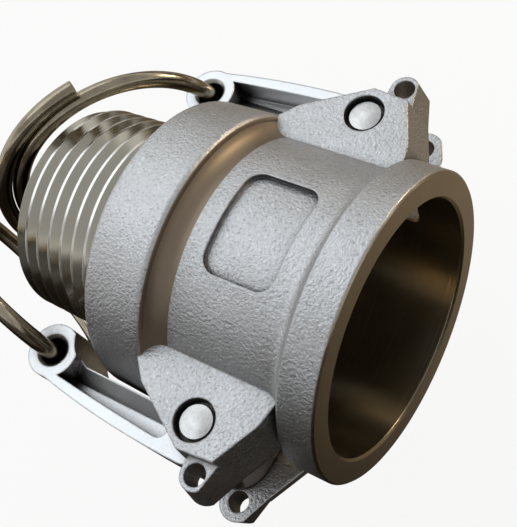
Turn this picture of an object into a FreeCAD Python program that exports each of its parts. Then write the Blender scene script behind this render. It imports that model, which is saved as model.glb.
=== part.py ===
import FreeCAD, Part
import math
import os

os.makedirs("parts", exist_ok=True)

V = FreeCAD.Vector

# A one inch cam and groove coupler with a male taper thread, cast in stainless steel.
# Millimetres. +X runs along the coupler out of the socket mouth, +Y to the upper cam arm,
# +Z along the cam pins. The origin is on the coupler's axis, level with the two cam pins.

# Socket that the grooved adapter slides into, with its turned lip at the mouth
bore_r = 18.4
pin_to_mouth = 15.0
socket_wall = 1.75
wall_r = bore_r + socket_wall
lip_r = bore_r + 3.8
lip_len = 5.2
lip_step = 0.25
lip_round = 0.3
flare_r = 2.4
flare_end_deg = -20
mouth_bevel = 0.35

# Thick collar round the gasket, with a cove that leads up to it from the socket
collar_front = -11.4
collar_len = 10.1
collar_back = collar_front - collar_len
collar_r = bore_r + 4.2
collar_round = 0.9
collar_taper = 0.3
cove_deg = 60

# Flat gasket and the groove that it snaps into
gasket_outer_r = bore_r + 1.45
gasket_inner_r = bore_r - 4.4
gasket_thick = 6.35
gasket_bevel = 0.4
groove_side_gap = 0.2
groove_play = 0.25
groove_r = gasket_outer_r + groove_play
groove_front = collar_front - 1.7
groove_back = groove_front - gasket_thick - groove_side_gap

# Spigot of the one inch taper thread, with the thread as one wound ridge, and the way through it
spigot_len = 20.3
spigot_end = collar_back - spigot_len
thread_crest_r = 16.28
thread_depth = 1.35
thread_rise = 1.0 / 32
thread_pitch = 25.4 / 11
thread_crest_flat = 0.42
thread_flank_deg = 27.5
thread_sink = 0.35
thread_spare = 0.05
thread_lead_in = 2.4
thread_stop = 2.1
thread_fade = 1.5
spigot_end_r = thread_crest_r - thread_depth
spigot_bevel = 0.4
spigot_cove = 1.0
waterway_r = thread_crest_r - 3.48
waterway_bevel = 0.4
seat_bevel = 1.2

# Cam pins and the ears that carry them
pin_above_bore = 5.2
pin_offset = bore_r + pin_above_bore
pin_r = 2.25
pin_dome = 0.2
pin_set_back = 0.45
ear_inner_z = 5.35
ear_thick = 5.95
ear_outer_z = ear_inner_z + ear_thick
counterbore_r = pin_r + 0.65
counterbore_depth = 1.9

# Outline of an ear on the upper side, from the collar round to the mouth
ear_root_y = bore_r - 4.4
ear_back_x = collar_front - 0.5
ear_back_y = pin_offset - 4.0
ear_shoulder_x = ear_back_x + 2.3
ear_shoulder_y = pin_offset - 1.5
ear_front_top_x = 6.9
ear_front_wall_x = 10.1
ear_front_wall_y = bore_r + 2.5
ear_front_root_x = 11.6
ear_front_slant = 2.0
ear_top_slant = 0.6

# Tab beside each ear with the hole for a safety pin
tab_x = 3.1
tab_above_pin = 5.8
tab_y = pin_offset + tab_above_pin
tab_hole_r = 1.5
tab_outer_z = ear_outer_z - 1.25
tab_base_r = 2.85
tab_top_r = 2.1
tab_drop = 1.1
tab_foot_y = tab_y - 2 * tab_drop
tab_round_deg = (45, 180)
tab_web_lead = 3.5

# Cam slots in the socket wall
slot_half_len = 8.0
slot_corner = 1.2
slot_sink = 4.0

# Sunk panel on the side of the socket
panel_x0 = -5.8
panel_len = 10.6
panel_y0 = -7.4
panel_height = 14.9
panel_depth = 0.7
panel_corner = 2.2

# Cam head, with the pin at the arm's own origin and the lever towards -X
arm_half_w = 5.0
arm_bore_clear = 0.06
head_r = 5.0
head_back_x = -2.5
head_back_y = 5.4
head_round_deg = (10, 70)
lobe_lead = 0.3
lobe_shift = 2.15
lobe_round_deg = (200, 350)
neck_x = -6.2
neck_y = -0.95

# Lever: an outer flange on a thin web, ending in the eye for the pull ring
eye_x = -29.1
eye_y = -0.5
eye_r = 4.0
eye_hole_r = 2.0
eye_bevel = 0.5
eye_round_deg = (78, 300)
lever_bow = 0.6
web_half_w = 1.1
web_inner_y = -0.6
web_edge_half_w = 3.0
web_valley_y = 1.7
eye_neck = 5.2
web_start_x = eye_x + eye_neck
web_bow = 0.5
flange_eye_y = 2.3
flange_head_y = 3.75
flange_bow = 0.1
pocket_head_x = -6.3
pocket_corner = 1.3

# Pull rings of round wire, the end lapped over the start
ring_wire_r = 1.25
ring_r = 17.5
ring_lap_gap = 0.1
ring_lap_deg = 93.0
ring_lap_start = 180.0
ring_seat = 0.35
ring_angle_upper = 235.0
ring_angle_lower = 156.0
ring_lean_lower = 5.0


def save(shape, name):
    shape.exportStep("parts/" + name + ".step")


def round_stretch(cx, cy, radius, a0, a1):
    """Outline steps for an arc about (cx, cy) from angle a0 to a1 in degrees."""
    spots = []
    for degrees in (a0, (a0 + a1) / 2, a1):
        a = math.radians(degrees)
        spots.append((cx + radius * math.cos(a), cy + radius * math.sin(a)))
    start, middle, end = spots
    return [start, middle + end]


def bowed(start, end, rise):
    """Outline step to end whose middle stands off the straight line, by rise to its left."""
    dx = end[0] - start[0]
    dy = end[1] - start[1]
    length = math.hypot(dx, dy)
    middle_x = (start[0] + end[0]) / 2 - rise * dy / length
    middle_y = (start[1] + end[1]) / 2 + rise * dx / length
    return (middle_x, middle_y) + tuple(end)


def outline(steps, z=0):
    """Closed wire at height z. A step is a point, or the middle and the end of an arc."""
    here = V(*steps[-1][-2:], z)
    edges = []
    for step in steps:
        there = V(*step[-2:], z)
        if len(step) == 4:
            edges.append(Part.Arc(here, V(*step[:2], z), there).toShape())
        else:
            edges.append(Part.makeLine(here, there))
        here = there
    return Part.Wire(edges)


def turned(steps):
    """Solid turned once about the X axis from an outline of (x, radius)."""
    return Part.Face(outline(steps)).revolve(V(0, 0, 0), V(1, 0, 0), 360)


def plate(steps, z0, z1):
    return Part.Face(outline(steps, z0)).extrude(V(0, 0, z1 - z0))


def taper_plate(low, high, z0, z1):
    """Plate whose outline changes from low at z0 to high at z1, corner by corner."""
    return Part.makeLoft([outline(low, z0), outline(high, z1)], True, True)


def rod_x(radius, x0, x1):
    return Part.makeCylinder(radius, x1 - x0, V(x0, 0, 0), V(1, 0, 0))


def rod_z(radius, x, y, z0, z1):
    return Part.makeCylinder(radius, z1 - z0, V(x, y, z0), V(0, 0, 1))


def mirror_y(shape):
    return shape.mirror(V(0, 0, 0), V(0, 1, 0))


def mirror_z(shape):
    return shape.mirror(V(0, 0, 0), V(0, 0, 1))


def spigot_r(x):
    """Radius at the foot of the taper thread at station x."""
    return spigot_end_r + (x - spigot_end) * thread_rise


def casting_outside():
    """Outside of the casting in (x, radius), from the mouth back to the spigot's free end."""
    lip_back = pin_to_mouth - lip_len
    flare_x = lip_back - lip_step - flare_r
    cove_rise = collar_r - collar_round - wall_r
    cove_r = cove_rise / (1 - math.cos(math.radians(cove_deg)))
    cove_x = collar_front + cove_r * math.sin(math.radians(cove_deg))
    back_r = collar_r - collar_taper
    foot_x = collar_back - spigot_cove
    foot_r = spigot_r(foot_x)
    bevel_x = spigot_end + spigot_bevel
    steps = [(pin_to_mouth, lip_r - lip_round), (pin_to_mouth - lip_round, lip_r)]
    steps += [(lip_back, lip_r), (lip_back - lip_step, lip_r - lip_step)]
    steps += round_stretch(flare_x, wall_r + flare_r, flare_r, flare_end_deg, -90)
    steps += round_stretch(cove_x, wall_r + cove_r, cove_r, -90, -90 - cove_deg)
    steps += round_stretch(collar_front - collar_round, collar_r - collar_round, collar_round, 0, 90)[1:]
    steps += round_stretch(collar_back + collar_round, back_r - collar_round, collar_round, 90, 180)
    steps += round_stretch(foot_x, foot_r + spigot_cove, spigot_cove, 0, -90)
    steps += [(bevel_x, spigot_r(bevel_x)), (spigot_end, spigot_end_r - spigot_bevel)]
    return steps


def casting_inside():
    """Inside of the casting in (x, radius), from the spigot's free end out to the mouth."""
    steps = [(spigot_end, waterway_r + waterway_bevel), (spigot_end + waterway_bevel, waterway_r)]
    steps += [(groove_back - seat_bevel, waterway_r), (groove_back, waterway_r + seat_bevel)]
    steps += [(groove_back, groove_r), (groove_front, groove_r), (groove_front, bore_r)]
    steps += [(pin_to_mouth - mouth_bevel, bore_r), (pin_to_mouth, bore_r + mouth_bevel)]
    return steps


def ear_outline(front_slant, top_slant):
    """Ear on the upper side. At the outer face its mouth edge is set back and its top is lower."""
    crest_x = tab_x - tab_web_lead
    crest_y = tab_y - tab_drop
    steps = [(ear_back_x, ear_root_y), (ear_back_x, ear_back_y), (ear_shoulder_x, ear_shoulder_y)]
    steps += [(crest_x, crest_y - top_slant), (ear_front_top_x - front_slant, tab_foot_y)]
    steps += [(ear_front_wall_x - front_slant, ear_front_wall_y)]
    steps += [(ear_front_root_x - front_slant, ear_root_y)]
    return steps


def tab_outline(radius, front_slant):
    """Round tab end that runs down into the ear, flush with the ear's flat mouth side."""
    steps = round_stretch(tab_x, tab_y, radius, *tab_round_deg)
    return steps + [(tab_x - radius, tab_foot_y), (ear_front_top_x - front_slant, tab_foot_y)]


def ear():
    """One ear of the upper pair on the near side, with its safety pin tab."""
    inner = ear_outline(0, 0)
    outer = ear_outline(ear_front_slant, ear_top_slant)
    blade = taper_plate(inner, outer, ear_inner_z, ear_outer_z)
    tab_slant = ear_front_slant * (tab_outer_z - ear_inner_z) / ear_thick
    tab_low = tab_outline(tab_base_r, 0)
    tab = taper_plate(tab_low, tab_outline(tab_top_r, tab_slant), ear_inner_z, tab_outer_z)
    return blade.fuse(tab).cut(rod_x(bore_r, collar_back, pin_to_mouth))


def all_ears():
    upper = [ear()]
    upper.append(mirror_z(upper[0]))
    return upper + [mirror_y(shape) for shape in upper]


def ear_holes():
    """Pin holes, their counterbores and the safety pin holes of all four ears."""
    far_z = ear_outer_z + 1
    floor_z = ear_outer_z - counterbore_depth
    upper = [rod_z(pin_r, 0, pin_offset, -far_z, far_z), rod_z(tab_hole_r, tab_x, tab_y, -far_z, far_z)]
    upper.append(rod_z(counterbore_r, 0, pin_offset, floor_z, far_z))
    upper.append(rod_z(counterbore_r, 0, pin_offset, -far_z, -floor_z))
    return upper + [mirror_y(shape) for shape in upper]


def cam_slots():
    """Windows in the socket wall between the ears, where the cams swing in."""
    corner = V(-slot_half_len, bore_r - slot_sink, -ear_inner_z)
    box = Part.makeBox(2 * slot_half_len, 2 * slot_sink, 2 * ear_inner_z, corner)
    uprights = [e for e in box.Edges if abs(e.Vertexes[0].Y - e.Vertexes[1].Y) > slot_sink]
    slot = box.makeFillet(slot_corner, uprights)
    return [slot, mirror_y(slot)]


def thread_ridge():
    """One ridge wound round the spigot, bevelled at the free end and fading out before the collar."""
    start_x = spigot_end - thread_lead_in
    stop_x = collar_back - thread_stop
    foot_r = spigot_r(start_x)
    crest = thread_crest_flat / 2
    foot = crest + (thread_depth + thread_sink) * math.tan(math.radians(thread_flank_deg))
    corners = [V(foot_r - thread_sink, 0, -foot), V(foot_r + thread_depth, 0, -crest)]
    corners += [V(corner.x, 0, -corner.z) for corner in reversed(corners)]
    profile = Part.makePolygon(corners + corners[:1])
    path = Part.makeHelix(thread_pitch, stop_x - start_x, foot_r, math.degrees(math.atan(thread_rise)))
    ridge = Part.Wire(path).makePipeShell([profile], True, True)
    ridge.rotate(V(0, 0, 0), V(0, 1, 0), 90)
    ridge.translate(V(start_x, 0, 0))
    reach = thread_depth + thread_spare
    bevel_x = spigot_end + spigot_bevel
    full_x = bevel_x + thread_depth
    fade_x = stop_x - thread_fade
    fade_end = stop_x + thread_sink
    steps = [(bevel_x, waterway_r), (bevel_x, spigot_r(bevel_x)), (full_x, spigot_r(full_x) + reach)]
    steps += [(fade_x, spigot_r(fade_x) + reach), (fade_end, spigot_r(stop_x)), (fade_end, waterway_r)]
    return ridge.common(turned(steps))


def side_panel():
    """Sunk panel on the near side: a rounded rectangle that follows the round wall."""
    block = Part.makeBox(panel_len, panel_height, wall_r / 2, V(panel_x0, panel_y0, wall_r * 0.7))
    uprights = [e for e in block.Edges if abs(e.Vertexes[0].Z - e.Vertexes[1].Z) > panel_corner]
    block = block.makeFillet(panel_corner, uprights)
    return block.cut(rod_x(wall_r - panel_depth, panel_x0 - 1, panel_x0 + panel_len + 1))


def coupler_body():
    casting = turned(casting_outside() + casting_inside())
    casting = casting.fuse(all_ears() + [thread_ridge()])
    casting = casting.cut(cam_slots() + ear_holes() + [side_panel()])
    return casting.removeSplitter()


def gasket():
    front = groove_back + gasket_thick
    edge = gasket_bevel
    steps = [(groove_back, gasket_inner_r + edge), (groove_back, gasket_outer_r - edge)]
    steps += [(groove_back + edge, gasket_outer_r), (front - edge, gasket_outer_r)]
    steps += [(front, gasket_outer_r - edge), (front, gasket_inner_r + edge)]
    steps += [(front - edge, gasket_inner_r), (groove_back + edge, gasket_inner_r)]
    return turned(steps)


def cam_pin():
    """Pin with a low dome at each end, pressed into both ears of the upper pair."""
    end_z = ear_outer_z - pin_set_back
    base_z = end_z - pin_dome
    shank = rod_z(pin_r, 0, pin_offset, -base_z, base_z)
    ball_r = (pin_r * pin_r + pin_dome * pin_dome) / (2 * pin_dome)
    ball = Part.makeSphere(ball_r, V(0, pin_offset, end_z - ball_r))
    cap = ball.common(rod_z(pin_r, 0, pin_offset, base_z, end_z + 1))
    return shank.fuse([cap, mirror_z(cap)]).removeSplitter()


def arm_side():
    """Side outline of the arm: cam lobe, round head, bowed lever, eye and thin inner edge."""
    head_top = (head_back_x, head_back_y)
    eye_end = round_stretch(eye_x, eye_y, eye_r, *eye_round_deg)
    web_start = (web_start_x, web_inner_y)
    steps = round_stretch(lobe_lead, -lobe_shift, head_r, *lobe_round_deg)
    steps += round_stretch(0, 0, head_r, *head_round_deg)
    steps += [head_top, bowed(head_top, eye_end[0], -lever_bow), eye_end[1]]
    steps += [bowed(eye_end[1][-2:], web_start, web_bow)]
    steps += [(neck_x, web_inner_y), (neck_x + head_r / 4, neck_y)]
    return steps


def side_pocket():
    """Hollow in one side of the lever. Its floor rises from the web to a thicker inner edge."""
    far_z = arm_half_w + 1
    open_y = web_inner_y - 2 * eye_r
    start = (eye_x + eye_r / 2, flange_eye_y)
    corner_x = pocket_head_x - pocket_corner
    corner = round_stretch(corner_x, flange_head_y - pocket_corner, pocket_corner, 90, 0)
    steps = [start, bowed(start, corner[0], flange_bow), corner[1]]
    steps += [(pocket_head_x + pocket_corner / 2, neck_y), (pocket_head_x + pocket_corner / 2, open_y)]
    steps += [(eye_x, open_y), (eye_x, flange_eye_y)]
    block = plate(steps, web_half_w, far_z)
    rise = (web_edge_half_w - web_half_w) / (web_valley_y - web_inner_y)
    open_z = web_half_w + rise * (web_valley_y - open_y)
    corners = [V(eye_x, web_valley_y, web_half_w), V(eye_x, open_y, web_half_w), V(eye_x, open_y, open_z)]
    ramp = Part.Face(Part.makePolygon(corners + corners[:1])).extrude(V(-eye_x, 0, 0))
    return block.cut([ramp, rod_z(eye_r, eye_x, eye_y, 0, far_z)])


def cam_arm():
    """Cam arm at its own origin: cam head, flanged lever and the eye for the pull ring."""
    far_z = arm_half_w + 1
    mouth_place = V(eye_x, eye_y, arm_half_w)
    mouth = Part.makeCone(eye_hole_r + eye_bevel, eye_hole_r, eye_bevel, mouth_place, V(0, 0, -1))
    near = [side_pocket(), mouth]
    holes = [rod_z(pin_r + arm_bore_clear, 0, 0, -far_z, far_z)]
    holes.append(rod_z(eye_hole_r, eye_x, eye_y, -far_z, far_z))
    body = plate(arm_side(), -arm_half_w, arm_half_w)
    return body.cut(near + [mirror_z(shape) for shape in near] + holes).removeSplitter()


def wire_bend(radius, cx, a0, a1):
    """A bent length of round wire in the XY plane, curved about (cx, 0) from angle a0 to a1."""
    a = math.radians(a0)
    start = V(cx + radius * math.cos(a), radius * math.sin(a), 0)
    along = V(-math.sin(a), math.cos(a), 0)
    disc = Part.Face(Part.Wire(Part.makeCircle(ring_wire_r, start, along)))
    return disc.revolve(V(cx, 0, 0), V(0, 0, 1), a1 - a0)


def pull_ring():
    """Lapped ring with the point inside the eye at the origin and its centre towards +X."""
    step = 2 * ring_wire_r + ring_lap_gap
    inner = wire_bend(ring_r, 0, 0, 180)
    outer = wire_bend(ring_r + step / 2, step / 2, 180, 360)
    lap = wire_bend(ring_r + step, 0, 0, ring_lap_deg)
    ring = inner.fuse([outer, lap])
    ring.rotate(V(step / 2, 0, 0), V(0, 0, 1), 180 + ring_lap_start)
    ring.translate(V(ring_r - ring_seat, 0, 0))
    return ring


def placed_ring(angle_deg, lean_deg, eye):
    """The ring with its wire through the eye and its centre off at the angle, lap away from the eye."""
    ring = pull_ring()
    ring.rotate(V(0, 0, 0), V(1, 0, 0), 90 - lean_deg)
    ring.rotate(V(0, 0, 0), V(0, 0, 1), angle_deg)
    ring.translate(eye)
    return ring


upper_arm = cam_arm()
lower_arm = mirror_y(upper_arm)
upper_arm.translate(V(0, pin_offset, 0))
lower_arm.translate(V(0, -pin_offset, 0))
upper_pin = cam_pin()

save(coupler_body(), "coupler_body")
save(gasket(), "socket_gasket")
save(upper_arm, "cam_arm_upper")
save(lower_arm, "cam_arm_lower")
save(upper_pin, "handle_pin_upper")
save(mirror_y(upper_pin), "handle_pin_lower")
save(placed_ring(ring_angle_upper, 0, V(eye_x, pin_offset + eye_y, 0)), "pull_ring_upper")
save(placed_ring(ring_angle_lower, ring_lean_lower, V(eye_x, -pin_offset - eye_y, 0)), "pull_ring_lower")
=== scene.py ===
import bpy
from mathutils import Matrix, Vector

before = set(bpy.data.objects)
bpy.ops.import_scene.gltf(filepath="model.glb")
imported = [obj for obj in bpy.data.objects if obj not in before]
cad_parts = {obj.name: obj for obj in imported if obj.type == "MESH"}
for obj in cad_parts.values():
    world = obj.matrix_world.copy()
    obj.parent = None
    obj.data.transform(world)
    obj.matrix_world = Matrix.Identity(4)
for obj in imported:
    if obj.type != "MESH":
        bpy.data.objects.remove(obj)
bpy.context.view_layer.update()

# Looks of the cam and groove coupler: camera, floor, light, metals and rubber.
# Metres. +X out of the socket, +Y to the upper arm, +Z along the pins.

mm = 0.001

# Sizes shared with the solids
mouth_x = 15.0 * mm
bore_r = 18.4 * mm
mouth_bevel = 0.35 * mm
mouth_r = bore_r + mouth_bevel
collar_front_x = -11.8 * mm
collar_back_x = -21.5 * mm
cove_end_x = -8.7 * mm
cove_top_r = 22.2 * mm
thread_crest_r = 16.62 * mm
thread_gauge_x = -32.0 * mm
thread_taper = 1 / 32

# Arm: shade painted on from cam_head_x on, rubbed to bronze from cam_nose_x on within cam_nose_r
cam_head_x = -1.2 * mm
cam_nose_x = -4.8 * mm
cam_nose_r = 22.2 * mm

# Camera, found by fitting the lip, bore, collar, pins and tabs to the photograph
focal_px = 943.45
centre_px = (300.20, 282.45)
frame_w = 517
frame_h = 527
sensor_mm = 36.0
clip_range = (0.005, 20.0)
camera_place = Vector((56.77, -31.97, 115.42)) * mm
camera_right = Vector((0.8366, 0.4631, -0.2925))
camera_down = Vector((0.3274, -0.8509, -0.4107))
camera_ahead = Vector((-0.4391, 0.2478, -0.8636))

# Ground and world. What is seen of both is white, the floor's by its share of plain white.
# sky_level is the world's strength for the rays that only light the object.
white = (1, 1, 1, 1)
floor_z = -60.0 * mm
floor_reach = 3.0
floor_color = (0.90, 0.90, 0.90, 1)
floor_white_share = 0.85
sky_level = 0.55

# Colours that patches or smears blend between
cast_tones = ((0.465, 0.46, 0.455, 1), (0.54, 0.54, 0.545, 1))
arm_tones = ((0.60, 0.60, 0.60, 1), (0.65, 0.65, 0.655, 1))
bronze_tones = ((0.40, 0.345, 0.265, 1), (0.50, 0.435, 0.345, 1))
thread_tones = ((0.40, 0.378, 0.305, 1), (0.50, 0.475, 0.395, 1))
cove_tones = ((0.20, 0.158, 0.115, 1), (0.28, 0.22, 0.16, 1))
wire_tones = ((0.25, 0.21, 0.15, 1), (0.41, 0.355, 0.265, 1))
pin_tones = ((0.46, 0.44, 0.42, 1), (0.58, 0.575, 0.565, 1))
rubber_tones = ((0.018, 0.018, 0.019, 1), (0.045, 0.044, 0.043, 1))

# Single colours
hollow_color = (0.22, 0.205, 0.19, 1)
peak_color = (0.70, 0.71, 0.73, 1)
corner_shade_color = (0.05, 0.042, 0.035, 1)
crest_highlight_color = (0.70, 0.675, 0.62, 1)
socket_color = (0.40, 0.34, 0.235, 1)
cam_head_shade_color = (0.24, 0.20, 0.165, 1)
cam_nose_color = (0.74, 0.56, 0.32, 1)

# Noises: features per metre, octaves, and how rough they are
grain_noise = (2500.0, 2.0, 0.55)
pit_noise = (5200.0, 2.0, 0.6)
lump_noise = (420.0, 3.0, 0.5)
patch_noise = (120.0, 3.0, 0.6)
smear_noise = (90.0, 2.0, 0.5)
dust_noise = (900.0, 4.0, 0.6)
wire_noises = ((200.0, 3.0, 0.6), (3500.0, 3.0, 0.6))
pin_noises = ((700.0, 3.0, 0.6), (3200.0, 3.0, 0.6))

# Casting: its relief, its softened edges, the bands of its noises where a colour sets in, and
# the arm's share of the body's speckle and roughness
cast_grain_depth = 0.15 * mm
arm_grain_depth = 0.035 * mm
grain_strength = 0.9
pit_depth_share = 0.25
pit_strength = 0.6
lump_depth = 0.10 * mm
lump_strength = 0.5
cast_edge_r = 0.4 * mm
patch_band = (0.30, 0.70)
hollow_band = (0.42, 0.28)
hollow_share = 0.55
peak_band = (0.58, 0.72)
peak_share = 0.6
pit_band = (0.3, 0.7)
cast_roughness = (0.33, 0.47)
cast_speckle = 1.0
arm_speckle = 0.25
arm_polish = 0.8

# Shade painted into corners: how far away a face still darkens, how open a place is where the
# shade is full and where it ends, and how dark full is. Samples are for the corners and the softened edges.
cast_corner_reach = 1.8 * mm
arm_corner_reach = 2.1 * mm
corner_band = (0.35, 0.92)
corner_share = 0.92
shade_samples = 6

# Turned faces: the soft edges of their masks, how deep the mouth's face goes, the strip behind
# the collar that stays cast, how flat a cheek is, and the band below the crest painted as a highlight
bore_soft = 0.1 * mm
face_depth = 0.15 * mm
face_soft = 0.20 * mm
end_gap = 0.3 * mm
end_soft = 0.3 * mm
cove_soft = 0.15 * mm
cove_soft_r = 0.2 * mm
cheek_band = (0.10, 0.25)
crest_highlight_band = (-0.11 * mm, -0.04 * mm)

# Turned faces: lines along the profile, their share outside the socket, softened edges, how far
# the thread's normal is a smooth barrel's, and roughness
line_scale = 9000.0
line_octaves = 2.0
line_depth = 0.022 * mm
line_strength = 0.7
outer_line_share = 0.4
turned_edge_r = 0.15 * mm
thread_calm = 0.65
smear_band = (0.2, 0.8)
turned_roughness = (0.20, 0.28)
cove_roughness = 0.48

# Cam: widths of the soft edges of its head's painted shade and its nose's colour
cam_soft_x = 0.8 * mm
cam_soft_r = 0.4 * mm

# Wire, pins and rubber: the bands of their noises, roughness and relief
smooth_smear_band = (0.35, 0.65)
smooth_fine_band = (0.3, 0.7)
smooth_strength = 0.5
wire_roughness = (0.13, 0.24)
wire_grain_depth = 0.008 * mm
pin_roughness = (0.24, 0.38)
pin_grain_depth = 0.03 * mm
dust_color_band = (0.45, 0.7)
dust_band = (0.3, 0.7)
rubber_roughness = (0.45, 0.7)
rubber_grain_depth = 0.03 * mm
rubber_strength = 0.4


# Node helpers

class Nodes:
    """The node tree of a material or world, with short ways to add nodes and links."""

    def __init__(self, owner):
        owner.use_nodes = True
        self.owner = owner
        self.tree = owner.node_tree
        self.tree.nodes.clear()

    def add(self, kind, **values):
        """A new node with some of its settings."""
        node = self.tree.nodes.new(kind)
        for key, value in values.items():
            setattr(node, key, value)
        return node

    def put(self, socket, value):
        """Sets an input, or links it where the value is another node's output."""
        if isinstance(value, bpy.types.NodeSocket):
            self.tree.links.new(value, socket)
        else:
            socket.default_value = value

    def math(self, kind, a, b=0.0, c=0.0):
        """A sum, product or other operation on numbers."""
        node = self.add("ShaderNodeMath", operation=kind)
        self.put(node.inputs[0], a)
        self.put(node.inputs[1], b)
        self.put(node.inputs[2], c)
        return node.outputs[0]

    def ramp(self, value, low, high, to_low=0.0, to_high=1.0):
        """Straight run from to_low to to_high as the value goes from low to high."""
        node = self.add("ShaderNodeMapRange")
        self.put(node.inputs["Value"], value)
        self.put(node.inputs["From Min"], low)
        self.put(node.inputs["From Max"], high)
        self.put(node.inputs["To Min"], to_low)
        self.put(node.inputs["To Max"], to_high)
        return node.outputs[0]

    def noise(self, place, scale, octaves, rough):
        """Soft noise over a place."""
        node = self.add("ShaderNodeTexNoise")
        self.put(node.inputs["Vector"], place)
        self.put(node.inputs["Scale"], scale)
        self.put(node.inputs["Detail"], octaves)
        self.put(node.inputs["Roughness"], rough)
        return node.outputs[0]

    def mix(self, share, a, b, kind="RGBA"):
        """Blend of two colours, or of two values of another kind."""
        node = self.add("ShaderNodeMix", data_type=kind)
        self.put(node.inputs["Factor"], share)
        self.put(node.inputs["A"], a)
        self.put(node.inputs["B"], b)
        return node.outputs["Result"]

    def blend(self, share, a, b):
        """Blend of two numbers."""
        return self.mix(share, a, b, "FLOAT")

    def both(self, a, b):
        """Mask of what is in two masks."""
        return self.math("MULTIPLY", a, b)

    def without(self, a, b):
        """Mask of what is in the first mask and outside the second."""
        return self.both(a, self.math("SUBTRACT", 1.0, b))

    def any(self, mask, *others):
        """Mask of what is in any of the masks."""
        for other in others:
            mask = self.math("MAXIMUM", mask, other)
        return mask

    def bump(self, height, distance, strength, normal=None):
        """Normal that stands for a relief of some depth."""
        node = self.add("ShaderNodeBump")
        self.put(node.inputs["Height"], height)
        self.put(node.inputs["Distance"], distance)
        self.put(node.inputs["Strength"], strength)
        if normal is not None:
            self.put(node.inputs["Normal"], normal)
        return node.outputs[0]

    def bevel(self, reach):
        """Normal with the solid's edges rounded off."""
        node = self.add("ShaderNodeBevel", samples=shade_samples)
        self.put(node.inputs["Radius"], reach)
        return node.outputs[0]

    def place(self):
        """Place in the piece's own frame, which moves with its joint."""
        return self.add("ShaderNodeTexCoord").outputs["Object"]

    def parts(self, vector):
        """X, Y and Z of a vector."""
        split = self.add("ShaderNodeSeparateXYZ")
        self.put(split.inputs[0], vector)
        return list(split.outputs)

    def around(self, y, z):
        """Distance from the X axis."""
        return self.math("SQRT", self.math("ADD", self.math("MULTIPLY", y, y), self.math("MULTIPLY", z, z)))

    def finish(self, shader, kind="ShaderNodeOutputMaterial"):
        """Links the shader to an output node."""
        self.tree.links.new(shader, self.add(kind).inputs["Surface"])
        return self.owner


def new_material(name):
    """The empty node tree of a new material."""
    return Nodes(bpy.data.materials.new(name))


def principled(nodes, color, roughness, normal, metallic):
    """The usual surface shader."""
    shader = nodes.add("ShaderNodeBsdfPrincipled")
    nodes.put(shader.inputs["Metallic"], metallic)
    nodes.put(shader.inputs["Base Color"], color)
    nodes.put(shader.inputs["Roughness"], roughness)
    nodes.put(shader.inputs["Normal"], normal)
    return shader.outputs[0]


def metal(nodes, color, roughness, normal):
    """The finished material of a metal."""
    return nodes.finish(principled(nodes, color, roughness, normal, 1.0))


def crevice(nodes, reach):
    """1 on open faces, towards 0 where faces crowd together within the reach."""
    shade = nodes.add("ShaderNodeAmbientOcclusion", samples=shade_samples)
    nodes.put(shade.inputs["Distance"], reach)
    return shade.outputs["AO"]


# Metals and rubber

def cast_parts(nodes, place, tones, grain_depth, speckle, corner_reach):
    """Colour, roughness and normal of a blasted casting with soft edges and painted shade in corners."""
    grain = nodes.noise(place, *grain_noise)
    pits = nodes.noise(place, *pit_noise)
    lumps = nodes.noise(place, *lump_noise)
    normal = nodes.bump(lumps, lump_depth, lump_strength, nodes.bevel(cast_edge_r))
    normal = nodes.bump(grain, grain_depth, grain_strength, normal)
    normal = nodes.bump(pits, grain_depth * pit_depth_share, pit_strength, normal)
    color = nodes.mix(nodes.ramp(nodes.noise(place, *patch_noise), *patch_band), *tones)
    color = nodes.mix(nodes.ramp(grain, *hollow_band, 0.0, hollow_share * speckle), color, hollow_color)
    color = nodes.mix(nodes.ramp(grain, *peak_band, 0.0, peak_share * speckle), color, peak_color)
    # Painted shade: the colour darkens where faces crowd together
    corners = nodes.ramp(crevice(nodes, corner_reach), *corner_band, corner_share, 0.0)
    color = nodes.mix(corners, color, corner_shade_color)
    return color, nodes.ramp(pits, *pit_band, *cast_roughness), normal


def cove_mask(nodes, x, z, radius):
    """The turned cove between collar and barrel, without the ears' flat cheeks that stand in it."""
    along = nodes.both(nodes.ramp(x, collar_front_x - cove_soft, collar_front_x),
                       nodes.ramp(x, cove_end_x + cove_soft, cove_end_x))
    in_cove = nodes.both(along, nodes.ramp(radius, cove_top_r + cove_soft_r, cove_top_r))
    facing = nodes.parts(nodes.add("ShaderNodeTexCoord").outputs["Normal"])
    sideways = nodes.math("ABSOLUTE", facing[2])
    radial = nodes.math("DIVIDE", nodes.math("ABSOLUTE", z), radius)
    flat_cheek = nodes.ramp(nodes.math("SUBTRACT", sideways, radial), *cheek_band)
    return nodes.without(in_cove, flat_cheek)


def outward(nodes, y, z):
    """Normal of a smooth barrel about the X axis, in world space."""
    radial = nodes.add("ShaderNodeCombineXYZ")
    nodes.put(radial.inputs[1], y)
    nodes.put(radial.inputs[2], z)
    turn = nodes.add("ShaderNodeVectorTransform", vector_type="NORMAL",
                     convert_from="OBJECT", convert_to="WORLD")
    nodes.put(turn.inputs[0], radial.outputs[0])
    return turn.outputs[0]


def turned_normal(nodes, x, y, z, radius, on_end, in_socket):
    """Turning lines on softened edges. The male end's flanks are evened out part of the way."""
    lines = nodes.add("ShaderNodeTexNoise", noise_dimensions="1D")
    nodes.put(lines.inputs["W"], nodes.math("MULTIPLY", nodes.math("ADD", x, radius), line_scale))
    nodes.put(lines.inputs["Scale"], 1.0)
    nodes.put(lines.inputs["Detail"], line_octaves)
    ridges = nodes.math("MULTIPLY", lines.outputs[0], nodes.blend(in_socket, outer_line_share, 1.0))
    even = nodes.math("MULTIPLY", on_end, thread_calm)
    calm = nodes.mix(even, nodes.bevel(turned_edge_r), outward(nodes, y, z), "VECTOR")
    return nodes.bump(ridges, line_depth, line_strength, calm)


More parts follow.
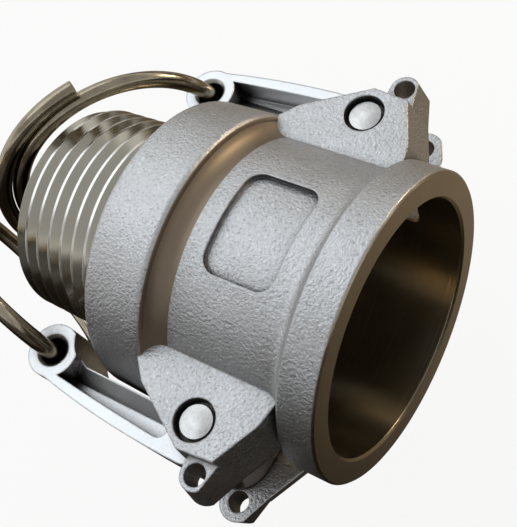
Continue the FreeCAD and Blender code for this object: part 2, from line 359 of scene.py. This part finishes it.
def body_material():
    """Cast outside, with the bore, the mouth's face, the cove and the male end turned."""
    nodes = new_material("coupler_casting")
    place = nodes.place()
    x, y, z = nodes.parts(place)
    radius = nodes.around(y, z)
    color, roughness, normal = cast_parts(nodes, place, cast_tones, cast_grain_depth, cast_speckle,
                                          cast_corner_reach)

    in_bore = nodes.ramp(radius, mouth_r + bore_soft, mouth_r)
    on_face = nodes.ramp(x, mouth_x - face_depth - face_soft, mouth_x - face_depth)
    on_end = nodes.ramp(x, collar_back_x - end_gap, collar_back_x - end_gap - end_soft)
    in_socket = nodes.without(in_bore, on_end)
    in_cove = cove_mask(nodes, x, z, radius)
    turned = nodes.any(in_bore, on_face, on_end, in_cove)
    past_gauge = nodes.math("SUBTRACT", x, thread_gauge_x)
    crest_r = nodes.math("MULTIPLY_ADD", past_gauge, thread_taper, thread_crest_r)
    on_crest = nodes.ramp(nodes.math("SUBTRACT", radius, crest_r), *crest_highlight_band)

    smears = nodes.noise(place, *smear_noise)
    share = nodes.ramp(smears, *smear_band)
    # Painted highlight: the thread is lightened just below its crest
    steel = nodes.mix(on_crest, nodes.mix(share, *thread_tones), crest_highlight_color)
    bare = nodes.mix(on_end, nodes.mix(share, *bronze_tones), steel)
    bare = nodes.mix(in_cove, bare, nodes.mix(share, *cove_tones))
    bare = nodes.mix(in_socket, bare, socket_color)
    polish = nodes.blend(in_cove, nodes.ramp(smears, *smear_band, *turned_roughness), cove_roughness)

    color = nodes.mix(turned, color, bare)
    roughness = nodes.blend(turned, roughness, polish)
    scratch = turned_normal(nodes, x, y, z, radius, on_end, in_socket)
    return metal(nodes, color, roughness, nodes.mix(turned, normal, scratch, "VECTOR"))


def arm_material():
    """Smoother casting than the body's, rubbed bright, with painted shade on its head
    and a cam nose worn to bronze.
    """
    nodes = new_material("cast_arm_steel")
    place = nodes.place()
    x, y, z = nodes.parts(place)
    radius = nodes.around(y, z)
    color, roughness, normal = cast_parts(nodes, place, arm_tones, arm_grain_depth, arm_speckle,
                                          arm_corner_reach)
    head_shade = nodes.ramp(x, cam_head_x - cam_soft_x, cam_head_x)
    on_nose = nodes.both(nodes.ramp(x, cam_nose_x - cam_soft_x, cam_nose_x),
                         nodes.ramp(radius, cam_nose_r + cam_soft_r, cam_nose_r - cam_soft_r))
    # Painted shade: the arm is darkened from cam_head_x on
    color = nodes.mix(head_shade, color, cam_head_shade_color)
    color = nodes.mix(on_nose, color, cam_nose_color)
    return metal(nodes, color, nodes.math("MULTIPLY", roughness, arm_polish), normal)


def smooth_metal(name, noises, tones, roughness, grain_depth):
    """Drawn or headed steel, smeared in colour and finely rough."""
    nodes = new_material(name)
    place = nodes.place()
    smears, fine = [nodes.noise(place, *noise) for noise in noises]
    color = nodes.mix(nodes.ramp(smears, *smooth_smear_band), *tones)
    normal = nodes.bump(fine, grain_depth, smooth_strength)
    return metal(nodes, color, nodes.ramp(fine, *smooth_fine_band, *roughness), normal)


def rubber_material():
    """Black rubber, dusty in places."""
    nodes = new_material("gasket_rubber")
    dust = nodes.noise(nodes.place(), *dust_noise)
    color = nodes.mix(nodes.ramp(dust, *dust_color_band), *rubber_tones)
    roughness = nodes.ramp(dust, *dust_band, *rubber_roughness)
    normal = nodes.bump(dust, rubber_grain_depth, rubber_strength)
    return nodes.finish(principled(nodes, color, roughness, normal, 0.0))


# Stage

def add_object(name, data):
    """A new object in the scene."""
    thing = bpy.data.objects.new(name, data)
    bpy.context.scene.collection.objects.link(thing)
    return thing


def add_rectangle(name, half_w, half_h, height, material):
    """A flat rectangle across the Z axis."""
    mesh = bpy.data.meshes.new(name)
    corners = [(a * half_w, b * half_h, height) for a, b in ((-1, -1), (1, -1), (1, 1), (-1, 1))]
    mesh.from_pydata(corners, [], [(0, 1, 2, 3)])
    mesh.materials.append(material)
    return add_object(name, mesh)


def aim_at(thing, place, target, front):
    """Puts an object at a place with its front axis towards the target."""
    thing.location = place
    thing.rotation_euler = (Vector(target) - Vector(place)).to_track_quat(front, "Y").to_euler()


def area_light(name, place, aim, size, power, color):
    """A rectangular lamp."""
    lamp = bpy.data.lights.new(name, "AREA")
    lamp.shape = "RECTANGLE"
    lamp.size, lamp.size_y = size
    lamp.energy = power
    lamp.color = color
    aim_at(add_object(name, lamp), place, aim, "-Z")


def seen(nodes):
    """1 for what the camera, a mirror or glass sees, else 0."""
    path = nodes.add("ShaderNodeLightPath")
    rays = [path.outputs[f"Is {kind} Ray"] for kind in ("Camera", "Glossy", "Transmission")]
    return nodes.any(*rays)


def pale_floor():
    """Pale ground under the object, lifted to nearly plain white where it is seen."""
    nodes = new_material("pale_floor")
    matt = nodes.add("ShaderNodeBsdfDiffuse")
    nodes.put(matt.inputs["Color"], floor_color)
    glow = nodes.add("ShaderNodeEmission")
    nodes.put(glow.inputs["Color"], white)
    nodes.put(glow.inputs["Strength"], 1.0)
    mixed = nodes.add("ShaderNodeMixShader")
    nodes.put(mixed.inputs[0], nodes.math("MULTIPLY", seen(nodes), floor_white_share))
    nodes.put(mixed.inputs[1], matt.outputs[0])
    nodes.put(mixed.inputs[2], glow.outputs[0])
    material = nodes.finish(mixed.outputs[0])
    floor = add_rectangle("floor", floor_reach, floor_reach, floor_z, material)


def card(name, place, aim, size, glow, top_glow=None, blend=(0.0, 1.0)):
    """A studio card out of the camera's sight, for the metal to reflect.

    Its colour runs from glow to top_glow between two places on its own Y axis.
    """
    nodes = new_material(name)
    up = nodes.parts(nodes.place())[1]
    shader = nodes.add("ShaderNodeEmission")
    nodes.put(shader.inputs["Color"], nodes.mix(nodes.ramp(up, *blend), glow, top_glow or glow))
    nodes.put(shader.inputs["Strength"], 1.0)
    board = add_rectangle(name, size[0] / 2, size[1] / 2, 0.0, nodes.finish(shader.outputs[0]))
    aim_at(board, place, aim, "Z")
    board.visible_camera = False
    board.visible_diffuse = False
    board.visible_shadow = False


def sky():
    """White world, dimmer for the rays that only light the object."""
    world = bpy.data.worlds.new("studio")
    bpy.context.scene.world = world
    nodes = Nodes(world)
    back = nodes.add("ShaderNodeBackground")
    strength = nodes.math("MULTIPLY_ADD", seen(nodes), 1.0 - sky_level, sky_level)
    nodes.put(back.inputs["Color"], white)
    nodes.put(back.inputs["Strength"], strength)
    nodes.finish(back.outputs[0], "ShaderNodeOutputWorld")


def photo_camera():
    """The photograph's eye. Its lens is measured along the frame's longer side, the height."""
    lens = bpy.data.cameras.new("photo_camera")
    camera = add_object("photo_camera", lens)
    turn = Matrix((camera_right, -camera_down, -camera_ahead)).transposed()
    camera.matrix_world = Matrix.Translation(camera_place) @ turn.to_4x4()
    lens.sensor_width = sensor_mm
    lens.lens = focal_px * sensor_mm / frame_h
    lens.shift_x = (frame_w / 2 - centre_px[0]) / frame_h
    lens.shift_y = (centre_px[1] - frame_h / 2) / frame_h
    lens.clip_start, lens.clip_end = clip_range
    bpy.context.scene.camera = camera


def dress(node, material):
    """Gives a node's solid its material."""
    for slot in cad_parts[node].material_slots:
        slot.link = "OBJECT"
        slot.material = material


bpy.context.scene.view_settings.view_transform = "Standard"
photo_camera()
pale_floor()
sky()
area_light("key_light", place=(-0.38, 0.12, 0.55), aim=(0, 0.12, 0), size=(0.85, 0.40),
           power=1.4, color=(0.87, 0.95, 1.0))
area_light("warm_light", place=(0.235, 0.52, 0.18), aim=(0, 0, 0), size=(0.12, 0.12),
           power=0.95, color=(1.0, 0.80, 0.52))
card("top_card", place=(0.0, 0.0, 0.80), aim=(0, 0, 0), size=(2.6, 2.6), glow=(0.54, 0.55, 0.57, 1))
# This card's own Y points to -Y, so the lighter brown lies on the upper arm's side
card("under_card", place=(0.06, 0.0, -0.056), aim=(0.06, 0.0, 0), size=(0.70, 0.70),
     glow=(0.020, 0.015, 0.011, 1), top_glow=(0.27, 0.22, 0.155, 1), blend=(0.030, -0.050))
card("low_card", place=(0.02, -0.34, 0.05), aim=(0.02, 0, 0.05), size=(0.8, 0.22),
     glow=(0.13, 0.128, 0.124, 1))
card("back_card", place=(0.02, 0.62, 0.0), aim=(0.02, 0, 0.0), size=(1.8, 0.27),
     glow=(0.16, 0.13, 0.10, 1))
card("front_card", place=(0.36, -0.02, 0.05), aim=(0, -0.02, 0.05), size=(0.6, 0.22),
     glow=(0.05, 0.04, 0.03, 1))

arm_steel = arm_material()
wire_steel = smooth_metal("drawn_wire_steel", wire_noises, wire_tones, wire_roughness, wire_grain_depth)
pin_steel = smooth_metal("cam_pin_steel", pin_noises, pin_tones, pin_roughness, pin_grain_depth)
dress("coupler_body", body_material())
dress("socket_gasket", rubber_material())
for side in ("upper", "lower"):
    dress("cam_arm_" + side, arm_steel)
    dress("handle_pin_" + side, pin_steel)
    dress("pull_ring_" + side, wire_steel)
